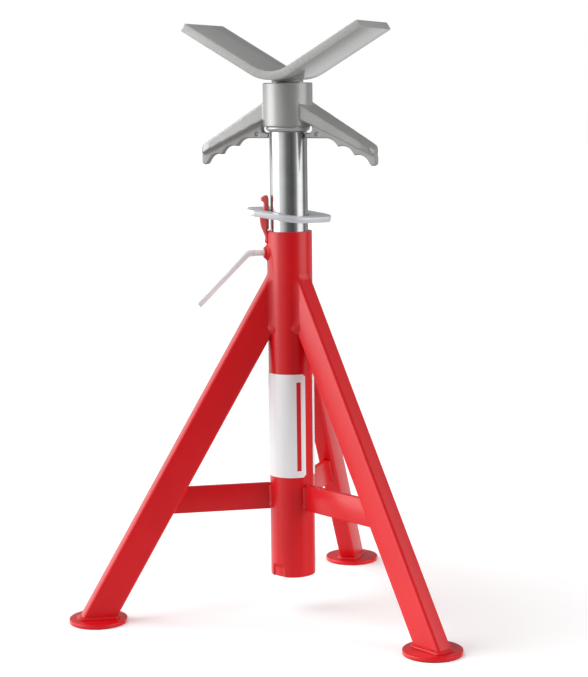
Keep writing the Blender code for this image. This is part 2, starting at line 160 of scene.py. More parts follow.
def stage_floor():
    corners = [(x * FLOOR_HALF, y * FLOOR_HALF, 0) for x, y in ((-1, -1), (1, -1), (1, 1), (-1, 1))]
    mesh = bpy.data.meshes.new("floor")
    mesh.from_pydata(corners, [], [(0, 1, 2, 3)])
    floor = placed("floor", mesh)
    floor.location.z = -FLOOR_DROP
    paper = bpy.data.materials.new("floor paper")
    paper.use_nodes = True
    inputs = paper.node_tree.nodes["Principled BSDF"].inputs
    inputs["Base Color"].default_value = (0.85, 0.85, 0.85, 1)
    inputs["Emission Color"].default_value = (1, 1, 1, 1)
    inputs["Emission Strength"].default_value = FLOOR_GLOW
    inputs["Roughness"].default_value = 0.9
    inputs["Specular IOR Level"].default_value = 0.1
    mesh.materials.append(paper)
    floor.visible_glossy = False
    floor.visible_diffuse = False


# Radiance of the room by its bearing from the camera's side, in degrees, plus is right: at eye level,
# and a little below it, where a ray would meet the far side of the table.
WALLS = ((-180, 0.20), (-150, 0.70), (-130, 1.05), (-64, 1.10), (-42, 0.88), (-26, 0.50),
         (-10, 0.18), (22, 0.09), (38, 0.20), (50, 0.45), (84, 0.45), (95, 0.16), (110, 0.16),
         (122, 0.42), (146, 0.30), (180, 0.20))
TABLE = ((-180, 0.75), (-140, 0.80), (-90, 0.90), (-50, 0.45), (-10, 0.16), (30, 0.16), (60, 0.30),
         (100, 0.20), (132, 0.14), (146, 0.66), (180, 0.75))
NEAR_TABLE = 0.25
CEILING = 0.22

# Where the walls turn into the ceiling, into the table and into its near side: how far up or down a
# ray of length 1 points there, and over how soft a step.
CEILING_EDGE, TABLE_EDGE, NEAR_EDGE = (0.35, 0.30), (0.12, 0.12), (0.38, 0.14)

# Two bright panels: bearings from and to, heights from and to, each with its soft step, and the
# radiance. The foot of the left one is brighter still.
LEFT_PANEL = (-106.92, -65.52, 18.0), (-0.112, 0.72, 0.08), 1.88
RIGHT_PANEL = (54.0, 94.32, 10.8), (-0.10, 0.52, 0.08), 1.05
PANEL_FOOT, PANEL_FOOT_GAIN = (0.06, 0.04), 0.8


def room():
    """A dim studio with a bright panel on each side, and white where the camera looks past the floor."""
    world = bpy.data.worlds.new("room")
    bpy.context.scene.world = world
    world.use_nodes = True
    start = Dye(world.node_tree)
    x, y, z = start.node("TexCoord", out="Generated").parts()
    down = 0 - z
    ahead = x * math.cos(TO_CAMERA) + y * math.sin(TO_CAMERA)
    aside = y * math.cos(TO_CAMERA) - x * math.sin(TO_CAMERA)
    bearing = start.sum("ARCTAN2", aside, ahead) * math.degrees(1)
    around = bearing * (1 / 360) + 0.5
    walls, table = [
        start.node("ValToRGB", {"stops": [((degrees + 180) / 360, level) for degrees, level in bands]},
                   {"Fac": around}) for bands in (WALLS, TABLE)]
    lifted = z.above(*CEILING_EDGE)
    lowered = down.above(*TABLE_EDGE)
    near = down.above(*NEAR_EDGE)
    lit = walls * (1 - lifted) * (1 - lowered) + lifted * CEILING
    lit = lit + lowered * (table * (1 - near) + near * NEAR_TABLE)
    left_panel, right_panel = [
        bearing.between(*bearings) * z.between(*heights) * radiance
        for bearings, heights, radiance in (LEFT_PANEL, RIGHT_PANEL)]
    lit = lit + left_panel * (1 + down.above(*PANEL_FOOT) * PANEL_FOOT_GAIN) + right_panel
    seen = start.node("LightPath", out="Is Camera Ray")
    background = world.node_tree.nodes["Background"].inputs
    start.feed(background["Strength"], lit * (1 - seen) + seen)
    background["Color"].default_value = (1, 1, 1, 1)


def far_light(name, bearing, elevation, strength, spread):
    """A wide soft light far off. Bearing is from the camera's side, right is plus."""
    lamp = bpy.data.lights.new(name, "SUN")
    lamp.energy = strength
    lamp.angle = math.radians(spread)
    light = placed(name, lamp)
    flat, up = math.cos(math.radians(elevation)), math.sin(math.radians(elevation))
    source = Vector(polar(flat, TO_CAMERA + math.radians(bearing), up))
    light.rotation_euler = source.to_track_quat("Z", "Y").to_euler()
    light.visible_glossy = False


def lit_table():
    """The lit part of the table in front of the stand, which fills the legs from below."""
    lamp = bpy.data.lights.new("lit table", "AREA")
    lamp.shape = "SQUARE"
    lamp.size = TABLE_SIDE
    lamp.energy = TABLE_POWER
    light = placed("lit table", lamp)
    light.location = COLUMN + Vector(polar(1, TO_CAMERA, 0)) * TABLE_AHEAD
    light.location.z = -FLOOR_DROP / 2
    light.rotation_euler = (math.pi, 0, CAMERA_TURN)
    light.visible_glossy = False
    light.visible_camera = False


aimed_camera()
stage_floor()
room()
lit_table()
far_light("light left", -92, 45, 2.35, 60)
far_light("light right", 68, 20, 1.5, 50)
bpy.context.scene.view_settings.view_transform = "Standard"

# Upright tube
# A 2 inch steel tube with a wall of 3.7 mm. Its foot is punched in on one side as a stop for the
# column, and it is enamelled red together with everything that is welded to it.
TUBE_RADIUS = 0.0254
TUBE_BORE = 0.0217
TUBE_LOW, TUBE_HIGH = 0.0429, 0.4366
TUBE_EDGE = 0.0006
TUBE_ROWS = [TUBE_LOW + 0.0009 * step for step in range(1, 24)] + [0.07, 0.16, 0.26, 0.36]
DENT_BEARING = math.radians(246)
DENT_HALF_WIDTH = 0.0085
DENT_TOP = 0.0575
DENT_SLOPE = 0.004
DENT_DEPTH = 0.0022


class Finish:
    """A material with one Principled shader, drawn in the piece's own coordinates."""

    def __init__(self, name, **plain):
        self.material = bpy.data.materials.new(name)
        self.material.use_nodes = True
        self.tree = self.material.node_tree
        self.shader = self.tree.nodes["Principled BSDF"]
        self.start = Dye(self.tree)
        self.place = self.start.node("TexCoord", out="Object")
        for socket, value in plain.items():
            self.set(socket.replace("_", " "), value)

    def set(self, socket, value):
        self.start.feed(self.shader.inputs[socket], value)

    def noise(self, scale, detail=2.0, stretch=(1, 1, 1), rough=0.5):
        """Cloudy noise with features about 1 / scale metres across, stretched along the axes."""
        spread = self.start.node("Mapping", None, {"Vector": self.place, "Scale": stretch})
        return self.start.node("TexNoise", None, {
            "Vector": spread, "Scale": scale, "Detail": detail, "Roughness": rough})

    def height_from(self, *layers):
        """Bumps of (pattern, millimetres) chained into the normal."""
        normal = None
        for pattern, millimetres in layers:
            sockets = {"Height": pattern, "Distance": millimetres / 1000, "Strength": 1.0}
            if normal:
                sockets["Normal"] = normal
            normal = self.start.node("Bump", None, sockets)
        self.set("Normal", normal)


def red_enamel(name, dark, light):
    """Gloss enamel, a little thicker here and there, with some dust in it."""
    finish = Finish(name, Coat_Weight=1.0, Coat_Roughness=0.24, Specular_IOR_Level=0.10)
    clouds = finish.noise(28, 3)
    peel = finish.noise(420, 2)
    grit = finish.noise(1600, 2)
    thick = clouds.above(0.5, 0.5)
    finish.set("Base Color", thick.tint(dark, light))
    finish.set("Roughness", 0.30 + clouds * 0.10 + grit * 0.05)
    finish.height_from((peel, 0.10), (grit, 0.018))
    return finish.material


def about_column(bearing):
    """From a piece's own axes, x away from the column and z up, to the stand's."""
    return Matrix.Translation(COLUMN) @ Matrix.Rotation(math.radians(bearing), 4, "Z")


def as_object(bm, name, finish, place=Matrix(), sharp=32.0):
    """A bmesh as a smooth-shaded object with one finish, its place kept in its mesh."""
    bm.transform(place)
    bmesh.ops.recalc_face_normals(bm, faces=bm.faces)
    mesh = bpy.data.meshes.new(name)
    bm.to_mesh(mesh)
    bm.free()
    mesh.shade_smooth()
    mesh.set_sharp_from_angle(angle=math.radians(sharp))
    mesh.materials.append(finish)
    return placed(name, mesh)


def fit(obj, body, slot, *nodes):
    """Hang a finished piece on its body and hide the nodes it stands for. The slot is not used."""
    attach(obj, body)
    if nodes:
        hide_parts(*nodes)


def level_ring(bm, radius, height, sides):
    """A level ring of vertices round the z axis."""
    return [bm.verts.new(polar(radius, 2 * math.pi * side / sides, height)) for side in range(sides)]


def strip(bm, lower, upper, rings=True):
    """Faces between two equal lines of vertices, which run back to their starts if they are rings."""
    for index in range(len(lower) if rings else len(lower) - 1):
        following = (index + 1) % len(lower)
        bm.faces.new((lower[index], lower[following], upper[following], upper[index]))


def skin(bm, rings, closed=True):
    """Faces between all the rings, then from the last one to the first, or else over both ends."""
    for lower, upper in zip(rings, rings[1:] + (rings[:1] if closed else [])):
        strip(bm, lower, upper)
    if not closed:
        bm.faces.new(rings[0])
        bm.faces.new(rings[-1])


def turned(profile, sides=160):
    """A closed outline of (radius, height) spun round the z axis. A solid piece keeps a hair's bore."""
    bm = bmesh.new()
    skin(bm, [level_ring(bm, radius, height, sides) for radius, height in profile])
    return bm


def round_over(radius, height, edge, up, steps=4):
    """The points of a rounded edge, from the foot end to the top end: up is 1 at a top, -1 at a foot."""
    points = []
    for step in range(steps + 1):
        a = math.pi / 2 * step / steps
        points.append((radius - edge * (1 - math.cos(a)), height - up * edge * (1 - math.sin(a))))
    return points[::up]


def dented_tube():
    outside = round_over(TUBE_RADIUS, TUBE_LOW, TUBE_EDGE, -1)
    outside += [(TUBE_RADIUS, height) for height in TUBE_ROWS]
    outside += round_over(TUBE_RADIUS, TUBE_HIGH, TUBE_EDGE, 1)
    inside = [(TUBE_BORE, height) for height in [TUBE_HIGH] + TUBE_ROWS[::-1] + [TUBE_LOW]]
    bm = turned(outside + inside, 240)
    for vert in bm.verts:
        radius = math.hypot(vert.co.x, vert.co.y)
        off = math.remainder(math.atan2(vert.co.y, vert.co.x) - DENT_BEARING, 2 * math.pi) * radius
        across = max(0.0, 1 - (abs(off) / DENT_HALF_WIDTH) ** 4)
        upward = min(1.0, max(0.0, (DENT_TOP - vert.co.z) / DENT_SLOPE))
        sunk = DENT_DEPTH * math.sqrt(across) * upward * upward * (3 - 2 * upward)
        vert.co.x -= sunk * math.cos(DENT_BEARING)
        vert.co.y -= sunk * math.sin(DENT_BEARING)
    return bm


RED = red_enamel("red enamel", (0.600, 0.0030, 0.0075), (0.650, 0.0045, 0.0095))
fit(as_object(dented_tube(), "upright_tube", RED, about_column(0)), "stand", "red_paint", "outer_tube")

# Three legs
# Rectangular steel tube, 35 x 20 mm, drawn with rounded corners. Each leans 30 degrees, is coped to
# the upright tube at its top and welded there outside and along both sides, and it is cut level at
# its foot and welded all round.
LEG_BEARINGS = {"left": 210, "right": 330, "rear": 90}
LEG_LEAN = math.radians(30)
LEG_AT_FLOOR = 0.2484
LEG_DEEP, LEG_WIDE, LEG_WALL = 0.035, 0.020, 0.002
LEG_CORNER = 0.0035
UP_LEG = Vector((-math.sin(LEG_LEAN), 0, math.cos(LEG_LEAN)))
INTO_LEG = Vector((-math.cos(LEG_LEAN), 0, -math.sin(LEG_LEAN)))
FOOT_TOP = 0.005

# Neighbouring pieces stand a gap of 0.3 mm apart. A weld is laid in steps of 0.6 mm, its toes sunk
# a little into the metal. It swells with each dab of the rod and, near open ends, to a blob.
GAP = 0.0003
TOE_SINK = 0.0002
WELD_STEP = 0.0006
WELD_FACETS = 5
WELD_CROWN = 0.35
DAB_STEPS, DAB_SWELL = 3.7, 0.07
DRIFT_RATE, DRIFT_SWELL = 0.19, 0.05
END_STEPS, BLOB_STEPS, BLOB_SWELL = 5, 4, 0.15
ROOT_SINK = 0.0008
SIDE_WELD, TOP_WELD, LEG_TOE = 0.0050, 0.0045, 0.0034
TOP_HOLLOW, SHORT_STEPS = -0.5, 4
FOOT_WELD = 0.0030


def section(shrink, steps=7):
    """Points round a leg's section, as (towards the column and down, sideways)."""
    deep, wide, corner = LEG_DEEP / 2 - shrink, LEG_WIDE / 2 - shrink, LEG_CORNER - 0.75 * shrink
    points = []
    for side_u, side_v, start in ((1, 1, 0), (-1, 1, 90), (-1, -1, 180), (1, -1, 270)):
        for step in range(steps + 1):
            a = math.radians(start + 90 * step / steps)
            points.append((side_u * (deep - corner) + corner * math.cos(a),
                           side_v * (wide - corner) + corner * math.sin(a)))
    return points


def leg_end(u, v, at_foot):
    """Where the leg's edge through a section point meets the foot disc or the upright tube."""
    start = Vector((LEG_AT_FLOOR, 0, 0)) + INTO_LEG * (LEG_DEEP / 2 + u) + Vector((0, v, 0))
    if at_foot:
        travel = (FOOT_TOP + GAP - start.z) / UP_LEG.z
    else:
        travel = (math.sqrt((TUBE_RADIUS + GAP) ** 2 - v ** 2) - start.x) / UP_LEG.x
    return start + UP_LEG * travel


def leg_tube(steps=6):
    bm = bmesh.new()
    rings = []
    for shrink, order in ((0, range(steps + 1)), (LEG_WALL, range(steps, -1, -1))):
        for step in order:
            share = step / steps
            ring = []
            for u, v in section(shrink):
                ring.append(bm.verts.new(leg_end(u, v, True).lerp(leg_end(u, v, False), share)))
            rings.append(ring)
    skin(bm, rings)
    return bm


def fillet_weld(bm, seam, closed=True, crown=WELD_CROWN):
    """Weld metal along a corner, from (root, toe on one piece, toe on the other) at each step.

    The crown is how far its face stands out, or in if it is negative.
    """
    rings = []
    for index, (root, first, second) in enumerate(seam):
        swell = 1 + DAB_SWELL * abs(math.sin(math.pi * index / DAB_STEPS))
        swell += DRIFT_SWELL * math.sin(index * DRIFT_RATE + 1.7)
        blob = 0.0
        if not closed:
            from_end = min(index, len(seam) - 1 - index)
            blob = math.exp(-((from_end - BLOB_STEPS) / BLOB_STEPS) ** 2)
            rounding = max(0.0, 1 - (from_end + 0.3) / END_STEPS)
            swell = (swell + BLOB_SWELL * blob) * math.sqrt(1 - rounding ** 2)
        first, second = root.lerp(first, swell), root.lerp(second, swell)
        middle = (first + second) / 2
        crest = middle + (middle - root) * (crown + (WELD_CROWN - crown) * blob)
        ring = [root, first]
        for step in range(1, WELD_FACETS):
            share = step / WELD_FACETS
            ring.append(first.lerp(crest, share).lerp(crest.lerp(second, share), share))
        rings.append([bm.verts.new(spot) for spot in ring + [second]])
    skin(bm, rings, closed)


def weld_on(name, place, *beads, finish=RED, body="stand", slot="red_paint"):
    """A joint's welds as one piece. Each bead is its seam and, if they differ, closed and crown."""
    bm = bmesh.new()
    for bead in beads:
        fillet_weld(bm, *bead)
    fit(as_object(bm, name, finish, place, 60), body, slot)


def leg_rim(open_side):
    """The leg's section every 0.6 mm as (point, way out), without its inner side if it is open."""
    plain, moved = section(0), section(-0.001)
    rim = []
    for index in range(len(plain) - (1 if open_side else 0)):
        following = (index + 1) % len(plain)
        steps = max(1, round(math.dist(plain[index], plain[following]) / WELD_STEP))
        for step in range(steps):
            point = Vector(plain[index]).lerp(Vector(plain[following]), step / steps)
            outer = Vector(moved[index]).lerp(Vector(moved[following]), step / steps)
            rim.append((point, (outer - point).normalized()))
    return rim


def top_weld(point, out):
    """Root and toes at a leg's top end: the weld lies level along the sides and upright over the top."""
    wall, y = TUBE_RADIUS - TOE_SINK, point.y + out.y * SIDE_WELD
    height = leg_end(*point, False).z - out.x * TOP_WELD
    flat_end = LEG_CORNER - LEG_DEEP / 2
    u = max(point.x - LEG_TOE * math.cos(LEG_LEAN), flat_end) if point.x > flat_end else point.x
    on_leg = leg_end(u, point.y, False) - UP_LEG * LEG_TOE * (1 + abs(out.y))
    on_tube = Vector((math.sqrt(wall ** 2 - y ** 2), y, height))
    return leg_end(*(point - out * ROOT_SINK), False), on_leg, on_tube


def foot_weld(point, out):
    """Root and toes of the even weld round a leg's foot."""
    toe = leg_end(*(point + out * FOOT_WELD), True)
    return leg_end(*(point - out * ROOT_SINK), True), leg_end(*point, True) + UP_LEG * FOOT_WELD, toe


for place, bearing in LEG_BEARINGS.items():
    leg = as_object(leg_tube(), "leg_tube_" + place, RED, about_column(bearing))
    fit(leg, "stand", "red_paint", "leg_" + place)
    top = [top_weld(*spot) for spot in leg_rim(True)[SHORT_STEPS:-SHORT_STEPS]]
    foot = [foot_weld(*spot) for spot in leg_rim(False)]
    weld_on("leg_welds_" + place, about_column(bearing), (top, False, TOP_HOLLOW), (foot,))

# Foot discs
# Flat steel discs, 65 mm across and 5 mm thick, stamped out with a slightly rolled upper edge and
# welded under the legs.
FOOT_RADIUS = 0.0326
FOOT_CIRCLE = 0.225

foot_profile = round_over(FOOT_RADIUS, 0, 0.0006, -1) + round_over(FOOT_RADIUS, FOOT_TOP, 0.0012, 1, 6)
foot_profile += [(0.020, FOOT_TOP), (0.008, FOOT_TOP), (0.0004, FOOT_TOP), (0.0004, 0)]
for place, bearing in LEG_BEARINGS.items():
    spot = about_column(bearing) @ Matrix.Translation((FOOT_CIRCLE, 0, 0))
    foot = as_object(turned(foot_profile, 128), "foot_disc_" + place, RED, spot)
    fit(foot, "stand", "red_paint", "foot_" + place)

# Braces
# Flat bar, 30 x 6 mm, on edge between the upright tube and each leg, sheared square at the tube
# and along the leg's lean at the other end, with a bead down both sides of each joint.
BRACE_LOW, BRACE_HIGH = 0.120, 0.150
BRACE_THICK = 0.006
BRACE_WELD, BRACE_SINK = 0.0024, 0.0004
BRACE_FROM, BRACE_STEPS = BRACE_LOW + 0.0012, 47


def slab(corners, along):
    """A flat face through the corners, drawn out along a direction."""
    bm = bmesh.new()
    face = bm.faces.new([bm.verts.new(corner) for corner in corners])
    grown = bmesh.ops.extrude_face_region(bm, geom=[face])
    moved = [item for item in grown["geom"] if isinstance(item, bmesh.types.BMVert)]
    bmesh.ops.translate(bm, verts=moved, vec=along)
    return bm


def rounded_plate(outline, thick, edge, segments=3):
    """A plate on edge from an outline of (x, height) points, with all its edges rounded."""
    bm = slab([(x, -thick / 2, z) for x, z in outline], (0, thick, 0))
    bmesh.ops.recalc_face_normals(bm, faces=bm.faces)
    sharp = [e for e in bm.edges if len(e.link_faces) == 2 and e.calc_face_angle() > math.radians(50)]
    bmesh.ops.bevel(bm, geom=sharp, offset=edge, segments=segments, profile=0.5, affect="EDGES")
    return bm


def leg_inner_face(height):
    return LEG_AT_FLOOR - LEG_DEEP / math.cos(LEG_LEAN) - height * math.tan(LEG_LEAN)


for place, bearing in LEG_BEARINGS.items():
    start = TUBE_RADIUS + GAP
    bar = rounded_plate([(start, BRACE_LOW), (leg_inner_face(BRACE_LOW) - GAP, BRACE_LOW),
                         (leg_inner_face(BRACE_HIGH) - GAP, BRACE_HIGH), (start, BRACE_HIGH)],
                        BRACE_THICK, 0.0007)
    brace = as_object(bar, "brace_bar_" + place, RED, about_column(bearing))
    fit(brace, "stand", "red_paint", "brace_" + place)
    beads = []
    for side in (-1, 1):
        y, toe, sink = side * BRACE_THICK / 2, side * BRACE_WELD, side * BRACE_SINK
        at_tube, at_leg = [], []
        for step in range(BRACE_STEPS):
            height = BRACE_FROM + WELD_STEP * step
            root = Vector((math.sqrt(TUBE_RADIUS ** 2 - y ** 2) - BRACE_SINK, y - sink, height))
            over = Vector((math.sqrt(TUBE_RADIUS ** 2 - (y + toe) ** 2) - TOE_SINK, y + toe, height))
            at_tube.append((root, root + Vector((BRACE_WELD + BRACE_SINK, sink, 0)), over))
            root = Vector((leg_inner_face(height) + BRACE_SINK, y - sink, height))
            over = root + Vector((-TOE_SINK, toe + sink, 0))
            at_leg.append((root, root + Vector((-BRACE_WELD - BRACE_SINK, sink, 0)), over))
        beads += [(at_tube, False), (at_leg, False)]
    weld_on("brace_welds_" + place, about_column(bearing), *beads)

# Lock bracket
# A hooked steel plate, 5 mm thick, welded on edge to the tube over the left leg. The lock plate
# lies on its shelf, and the hook above keeps the plate on. Its red is painted lighter than the
# tube's, a painted light on its face.
BRACKET_THICK = 0.005
BRACKET_FROM, BRACKET_STEPS = 0.4226, 22
BRACKET_WELD = 0.0016
ON_LEFT = about_column(LEG_BEARINGS["left"])


def filleted(corners, steps=5):
    """A polygon of (x, y, radius) corners with its rounded corners drawn as arcs."""
    points = []
    for index, (x, y, radius) in enumerate(corners):
        corner = Vector((x, y))
        if radius == 0:
            points.append((x, y))
            continue
        before = (Vector(corners[index - 1][:2]) - corner).normalized()
        after = (Vector(corners[(index + 1) % len(corners)][:2]) - corner).normalized()
        half = before.angle(after) / 2
        centre = corner + (before + after).normalized() * radius / math.sin(half)
        start = corner + before * radius / math.tan(half) - centre
        turn = -start.angle_signed(corner + after * radius / math.tan(half) - centre)
        for step in range(steps + 1):
            points.append(tuple(centre + Matrix.Rotation(turn * step / steps, 2) @ start))
    return points


bracket_outline = filleted([
    (0.02575, 0.4215, 0), (0.0262, 0.4275, 0.004), (0.0322, 0.4420, 0.010), (0.0332, 0.4480, 0),
    (0.0332, 0.4537, 0.001), (0.0287, 0.4537, 0.0006), (0.0287, 0.4690, 0.0012),
    (0.0316, 0.4706, 0.0008), (0.0319, 0.4742, 0.0012), (0.0275, 0.4770, 0.002),
    (0.0241, 0.4766, 0.002), (0.0233, 0.4720, 0), (0.0233, 0.4396, 0.001), (0.02575, 0.4372, 0)])
# Painted light: the hook's red is lighter than the tube's so that its face looks brightly lit.
PAINTED_LIGHT_RED = red_enamel("red enamel with painted light", (0.93, 0.140, 0.145), (0.98, 0.170, 0.175))
hook = rounded_plate(bracket_outline, BRACKET_THICK, 0.0007, 4)
bracket = as_object(hook, "bracket_hook", PAINTED_LIGHT_RED, ON_LEFT)
fit(bracket, "stand", "red_paint", "lock_bracket")
beads = []
for side in (-1, 1):
    spots = []
    for step in range(BRACKET_STEPS):
        y, height = side * BRACKET_THICK / 2, BRACKET_FROM + WELD_STEP * step
        root = Vector((TUBE_RADIUS - 0.0002, y - side * 0.0006, height))
        over = Vector((TUBE_RADIUS - 0.0005, y + side * BRACKET_WELD, height))
        spots.append((root, Vector((TUBE_RADIUS + BRACKET_WELD, y, height)), over))
    beads.append((spots, False))
weld_on("bracket_welds", ON_LEFT, *beads)

# Clamp boss
# A short threaded steel bush with a rounded mouth, over a hole in the tube's side. It is run round
# with a fillet of weld and enamelled with the tube.
BOSS_HEIGHT = 0.4126
BOSS_ROOT, BOSS_WELD, BOSS_STEPS = 0.0076, 0.0017, 80
LYING_OUT = ON_LEFT @ Matrix.Translation((0, 0, BOSS_HEIGHT)) @ Matrix.Rotation(math.pi / 2, 4, "Y")

boss_profile = [(0.0042, 0.0235), (0.0078, 0.0235), (0.0077, 0.0255), (0.0073, 0.0262), (0.0070, 0.0268),
                (0.0068, 0.0277), (0.0065, 0.0285), (0.0061, 0.0291), (0.0056, 0.0295), (0.0048, 0.0296),
                (0.0043, 0.0294)]
boss = as_object(turned(boss_profile, 96), "boss_bush", RED, LYING_OUT)
fit(boss, "stand", "red_paint", "clamp_boss")


def on_tube(radius, turn, sink=0.0):
    """A point of the tube's wall on a circle round the boss."""
    y = radius * math.cos(turn)
    return Vector((math.sqrt(TUBE_RADIUS ** 2 - y ** 2) - sink, y, BOSS_HEIGHT + radius * math.sin(turn)))


spots = []
for step in range(BOSS_STEPS):
    turn = 2 * math.pi * step / BOSS_STEPS
    root = on_tube(BOSS_ROOT, turn)
    spots.append((root, root + Vector((BOSS_WELD, 0, 0)), on_tube(BOSS_ROOT + BOSS_WELD, turn, TOE_SINK)))
weld_on("boss_weld", ON_LEFT, (spots,))

# Labels
# Two thin laminated sheets, 118 mm high with rounded corners, glued round the tube. They are blank,
# and the front one has a plain red stripe.
LABEL_RADIUS = 0.0257
LABEL_SKIN = 0.00025
LABEL_LOW, LABEL_HIGH = 0.159, 0.277
LABEL_ARCS = {"label_front": (194.3, 326.3), "label_side": (-4.7, 112.0)}
STRIPE_ARC = (-57.8, -46.4)
STRIPE_LOW, STRIPE_HIGH = 0.1665, 0.268


def label_sheet(arc, corner=0.003, steps=90, rows=40):
    """A curved sheet over an arc in degrees. Its rows draw in at the ends for the rounded corners."""
    bm = bmesh.new()
    sides = []
    for radius in (LABEL_RADIUS, LABEL_RADIUS + LABEL_SKIN):
        grid = []
        for row in range(rows + 1):
            height = LABEL_LOW + (LABEL_HIGH - LABEL_LOW) * row / rows
            to_end = min(height - LABEL_LOW, LABEL_HIGH - height)
            draw_in = corner - math.sqrt(max(0.0, corner ** 2 - (corner - min(to_end, corner)) ** 2))
            trim = math.degrees(draw_in / LABEL_RADIUS)
            low, high = arc[0] + trim, arc[1] - trim
            angles = [math.radians(low + (high - low) * step / steps) for step in range(steps + 1)]
            grid.append([bm.verts.new(polar(radius, a, height)) for a in angles])
        sides.append(grid)
    inner, outer = sides
    for grid in sides:
        for lower, upper in zip(grid, grid[1:]):
            strip(bm, lower, upper, False)
    for end in (0, -1):
        strip(bm, inner[end], outer[end], False)
        strip(bm, [line[end] for line in inner], [line[end] for line in outer], False)
    return bm


def laminate(name, striped):
    """White paper under a clear film, which shows the paper's fibre a little."""
    finish = Finish(name, Roughness=0.34, Coat_Weight=0.3, Coat_Roughness=0.12)
    fibre = finish.noise(900, 3)
    paper = fibre.tint((0.79, 0.80, 0.81), (0.86, 0.87, 0.88))
    if striped:
        x, y, z = finish.place.parts()
        bearing = finish.start.sum("ARCTAN2", y - COLUMN.y, x) * math.degrees(1)
        stripe = bearing.between(*STRIPE_ARC, 0.6) * z.between(STRIPE_LOW, STRIPE_HIGH, 0.0003)
        paper = stripe.tint(paper, (0.62, 0.012, 0.02))
    finish.set("Base Color", paper)
    finish.height_from((finish.noise(130, 2), 0.04), (fibre, 0.006))
    return finish.material


for name, arc in LABEL_ARCS.items():
    film = laminate(name, name == "label_front")
    sheet = as_object(label_sheet(arc), name + "_sheet", film, about_column(0))
    fit(sheet, "stand", "label", name)

# Lock plate
# A zinc plated plate, 6.3 mm thick, loose round the column. It rests on the bracket's shelf and
# jams on the column as long as its free side hangs down.
PLATE_TILT = math.radians(9.1)
PLATE_RISES_TO = math.radians(162.4)
PLATE_CENTRE = 0.4545
PLATE_THICK = 0.0063
PLATE_HOLE, PLATE_DISC, PLATE_END = 0.0222, 0.033, 0.016
PLATE_REACH, PLATE_PIVOT = 0.048, 0.031
NOTCH_REACH, NOTCH_HALF = 0.0302, 0.0035


def shade(colour, share):
    """A colour made darker, or lighter up to full."""
    return tuple(min(1.0, channel * share) for channel in colour)


def zinc_plating(name, colour, roughness, streaks, shine=1.0):
    """Zinc plate: thin, a little cloudy, over the drawing or rolling lines of the steel."""
    finish = Finish(name, Metallic=shine)
    clouds = finish.noise(45, 4)
    lines = finish.noise(900, 2, streaks)
    specks = finish.noise(1400, 2).above(0.62, 0.1)
    bright = (clouds * 0.7 + lines * 0.3).above(0.5, 0.3)
    finish.set("Base Color", bright.tint(shade(colour, 0.90), shade(colour, 1.05)))
    finish.set("Roughness", roughness + clouds * 0.10 + specks * 0.05)
    finish.height_from((lines, 0.008), (finish.noise(260, 2), 0.02))
    return finish.material


def arc_points(centre, radius, start, end, steps):
    angles = [math.radians(start + (end - start) * step / steps) for step in range(steps + 1)]
    return [(centre[0] + radius * math.cos(a), centre[1] + radius * math.sin(a)) for a in angles]


def settled(obj, others=(), operation="DIFFERENCE"):
    """Cut or join with others, keep the result as the object's own mesh, and clear the others away."""
    for other in others:
        change = obj.modifiers.new("change", "BOOLEAN")
        change.operation = operation
        change.object = other
    graph = bpy.context.evaluated_depsgraph_get()
    mesh = bpy.data.meshes.new_from_object(obj.evaluated_get(graph))
    obj.modifiers.clear()
    obj.data = mesh
    for other in others:
        bpy.data.objects.remove(other)


def lying_plate(outline, thick):
    return slab([(x, y, 0) for x, y in outline], (0, 0, thick))


def lock_plate():
    uphill = Vector(polar(1, PLATE_RISES_TO, 0))
    tilt = Matrix.Rotation(PLATE_TILT, 3, uphill.cross((0, 0, 1)))
    turn = Matrix.Rotation(math.radians(LEG_BEARINGS["left"]), 3, "Z")
    pivot = turn @ Vector((PLATE_PIVOT, 0, 0))
    pivot.z = PLATE_CENTRE + pivot.dot(uphill) * math.tan(PLATE_TILT) - PLATE_THICK / 2 / math.cos(PLATE_TILT)
    to_hole = (tilt @ turn).inverted() @ (Vector((0, 0, PLATE_CENTRE)) - pivot)
    hole, end = to_hole.x, PLATE_REACH - PLATE_END
    tangent = math.degrees(math.acos((PLATE_DISC - PLATE_END) / end))
    outline = arc_points((hole + end, 0), PLATE_END, -tangent, tangent, 24)
    outline += arc_points((hole, 0), PLATE_DISC, tangent, 180 - tangent, 24)[1:-1]
    outline += arc_points((hole - end, 0), PLATE_END, 180 - tangent, 180 + tangent, 24)
    outline += arc_points((hole, 0), PLATE_DISC, 180 + tangent, 360 - tangent, 24)[1:-1]
    spread = math.degrees(math.asin(NOTCH_HALF / PLATE_HOLE))
    opening = arc_points((hole, 0), PLATE_HOLE, spread, 360 - spread, 96)
    opening += [(hole + NOTCH_REACH, -NOTCH_HALF), (hole + NOTCH_REACH, NOTCH_HALF)]
    place = Matrix.Translation(COLUMN + pivot) @ (tilt @ turn).to_4x4()
    place = place @ Matrix.Translation((0, to_hole.y, 0))
    zinc = zinc_plating("plate zinc", (0.90, 0.91, 0.95), 0.30, (0.15, 1, 1), 0.50)
    plate = as_object(lying_plate(outline, PLATE_THICK), "lock_plate_body", zinc)
    cutter = as_object(lying_plate(opening, PLATE_THICK * 3), "plate_hole", zinc,
                       Matrix.Translation((0, 0, -PLATE_THICK)))
    settled(plate, [cutter])
    edge = plate.modifiers.new("edges", "BEVEL")
    edge.width, edge.segments, edge.angle_limit = 0.0007, 3, math.radians(50)
    settled(plate)
    plate.data.transform(place)
    plate.data.shade_smooth()
    plate.data.set_sharp_from_angle(angle=math.radians(32))
    return plate


fit(lock_plate(), "lock", "bright_zinc", "lock_plate")

